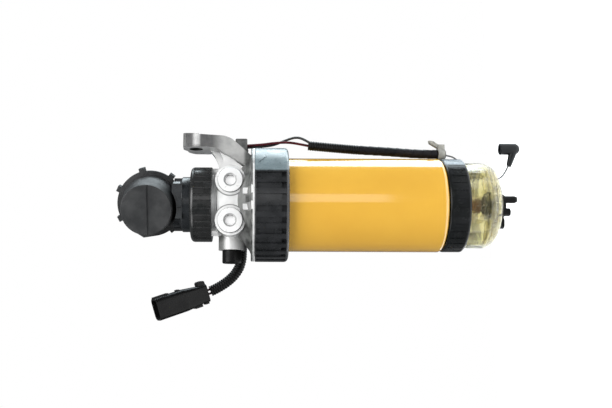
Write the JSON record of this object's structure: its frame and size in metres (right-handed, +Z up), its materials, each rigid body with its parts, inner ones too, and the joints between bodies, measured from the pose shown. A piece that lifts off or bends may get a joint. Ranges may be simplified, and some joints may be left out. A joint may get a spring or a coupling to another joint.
{
  "type": "fuel feed pump",
  "caption": "Diesel fuel filter head with a side bracket, an electric feed pump on top, a spin-on canister with a clear water bowl below, and its wiring pigtails.",
  "frame": {"origin": "centre of the bracket's bolt hole, on its mounting face", "axes": "+Y out of the bracket's mounting face, +Z up along the filter's axis towards the pump, +X towards the two plugged ports"},
  "size_m": [0.1242, 0.1896, 0.4254],
  "materials": {
    "cast_aluminium": "as-cast, fine grain, bright machined faces",
    "bright_aluminium": "turned, bright",
    "washer_metal": "soft, dull",
    "black_plastic": "moulded, low sheen",
    "clip_plastic": "moulded, low sheen",
    "yellow_paint": "smooth gloss paint",
    "seal_rubber": "dull",
    "filter_paper": "resin-treated paper, dull",
    "core_plastic": "moulded",
    "end_cap": "moulded, dull",
    "inner_plastic": "moulded, semi-gloss",
    "ring_plastic": "moulded, satin",
    "amber_clear": "clear moulded plastic, gloss",
    "probe_metal": "bright",
    "nut_plastic": "moulded, low sheen",
    "pump_plastic": "moulded, satin",
    "cover_plastic": "moulded, satin",
    "tinned_metal": "tinned",
    "magnet_dark": "ground, dull",
    "laminated_iron": "stacked sheets",
    "copper_wire": "enamelled wire",
    "commutator_copper": "turned",
    "shaft_steel": "ground",
    "bush_bronze": "sintered",
    "holder_plastic": "moulded",
    "carbon": "dull",
    "impeller_plastic": "moulded",
    "plate_metal": "ground",
    "valve_brass": "turned",
    "poppet_plastic": "moulded",
    "spring_steel": "drawn wire",
    "conduit_black": "corrugated, dull",
    "dark_red_wire": "smooth",
    "red_wire": "smooth",
    "black_wire": "smooth",
    "thin_lead": "smooth",
    "tie_grey": "moulded",
    "connector_plastic": "moulded, low sheen",
    "boot_rubber": "satin"
  },
  "bodies": {
    "head": {"head_casting": "cast_aluminium", "port_plugs": "bright_aluminium", "port_plug_washers": "washer_metal", "outlet_port_cap": "black_plastic", "harness_clip": "clip_plastic", "check_valve_seat": "valve_brass", "check_valve_cage": "core_plastic", "check_valve_spring": "spring_steel", "lower_conduit": "conduit_black", "connector_leads": "dark_red_wire", "connector_housing": "connector_plastic", "connector_seal": "seal_rubber", "connector_pins": "tinned_metal", "red_wire": "red_wire", "black_wire": "black_wire", "upper_conduit": "conduit_black", "harness_tie": "tie_grey", "sensor_lead": "thin_lead", "sensor_boot": "boot_rubber", "boot_terminal": "valve_brass"},
    "canister": {"filter_canister": "yellow_paint", "canister_seal": "seal_rubber", "pleated_media": "filter_paper", "media_core": "core_plastic", "element_top_cap": "end_cap", "element_bottom_cap": "end_cap", "base_plate": "inner_plastic", "standpipe": "inner_plastic"},
    "lock_ring": {"lock_ring": "ring_plastic"},
    "bowl": {"water_bowl": "amber_clear", "bowl_seal": "seal_rubber", "drain_body": "black_plastic", "drain_nut": "black_plastic", "sensor_probes": "probe_metal"},
    "bowl_ring": {"bowl_ring": "ring_plastic"},
    "drain_slide": {"drain_seal": "seal_rubber"},
    "drain_screw": {"drain_screw": "black_plastic"},
    "pump": {"pump_housing": "pump_plastic", "pump_seal": "seal_rubber", "pump_front_cover": "cover_plastic", "motor_can": "pump_plastic", "motor_terminals": "tinned_metal", "field_magnets": "magnet_dark", "shaft_bushes": "bush_bronze", "brush_holder": "holder_plastic", "motor_brushes": "carbon", "impeller_plates": "plate_metal"},
    "pump_nut": {"pump_nut": "nut_plastic"},
    "rotor": {"motor_shaft": "shaft_steel", "armature": "laminated_iron", "motor_windings": "copper_wire", "commutator": "commutator_copper", "impeller": "impeller_plastic"},
    "check_poppet": {"check_valve_poppet": "poppet_plastic"}
  },
  "joints": [
    {"name": "canister_drop", "type": "slide", "parent": "head", "child": "canister", "axis": [0, 0, -1], "range_m": [0, 0.012]},
    {"name": "lock_ring_turn", "type": "hinge", "parent": "canister", "child": "lock_ring", "pos_m": [-0.0075, -0.0701, -0.0767], "axis": [0, 0, -1], "range_deg": [0, 1080]},
    {"name": "bowl_drop", "type": "slide", "parent": "canister", "child": "bowl", "axis": [0, 0, -1], "range_m": [0, 0.009]},
    {"name": "bowl_ring_turn", "type": "hinge", "parent": "bowl", "child": "bowl_ring", "pos_m": [-0.0075, -0.0701, -0.2587], "axis": [0, 0, -1], "range_deg": [0, 1080]},
    {"name": "drain_screw_drop", "type": "slide", "parent": "bowl", "child": "drain_slide", "axis": [0, 0, -1], "range_m": [0, 0.0045]},
    {"name": "drain_screw_turn", "type": "hinge", "parent": "drain_slide", "child": "drain_screw", "pos_m": [-0.0075, -0.0766, -0.3167], "axis": [0, 0, -1], "range_deg": [0, 1080]},
    {"name": "pump_lift", "type": "slide", "parent": "head", "child": "pump", "axis": [0, 0, 1], "range_m": [0, 0.009]},
    {"name": "pump_nut_turn", "type": "hinge", "parent": "pump", "child": "pump_nut", "pos_m": [-0.0075, -0.0701, -0.0057], "axis": [0, 0, 1], "range_deg": [0, 1080]},
    {"name": "rotor_spin", "type": "hinge", "parent": "pump", "child": "rotor", "pos_m": [-0.0075, -0.0701, 0.0469], "axis": [0.9511, -0.309, 0], "continuous": true},
    {"name": "check_valve_lift", "type": "slide", "parent": "head", "child": "check_poppet", "axis": [0, 0, 1], "range_m": [0, 0.003], "stiffness_N_per_m": 60, "springref_m": -0.003, "deforming": ["check_valve_spring"]}
  ],
  "couplings": [
    {"joint": "lock_ring_turn", "follows": "canister_drop", "rad_per_m": 1570.8},
    {"joint": "bowl_ring_turn", "follows": "bowl_drop", "rad_per_m": 2094.4},
    {"joint": "drain_screw_turn", "follows": "drain_screw_drop", "rad_per_m": 4188.7},
    {"joint": "pump_nut_turn", "follows": "pump_lift", "rad_per_m": 2094.4}
  ]
}
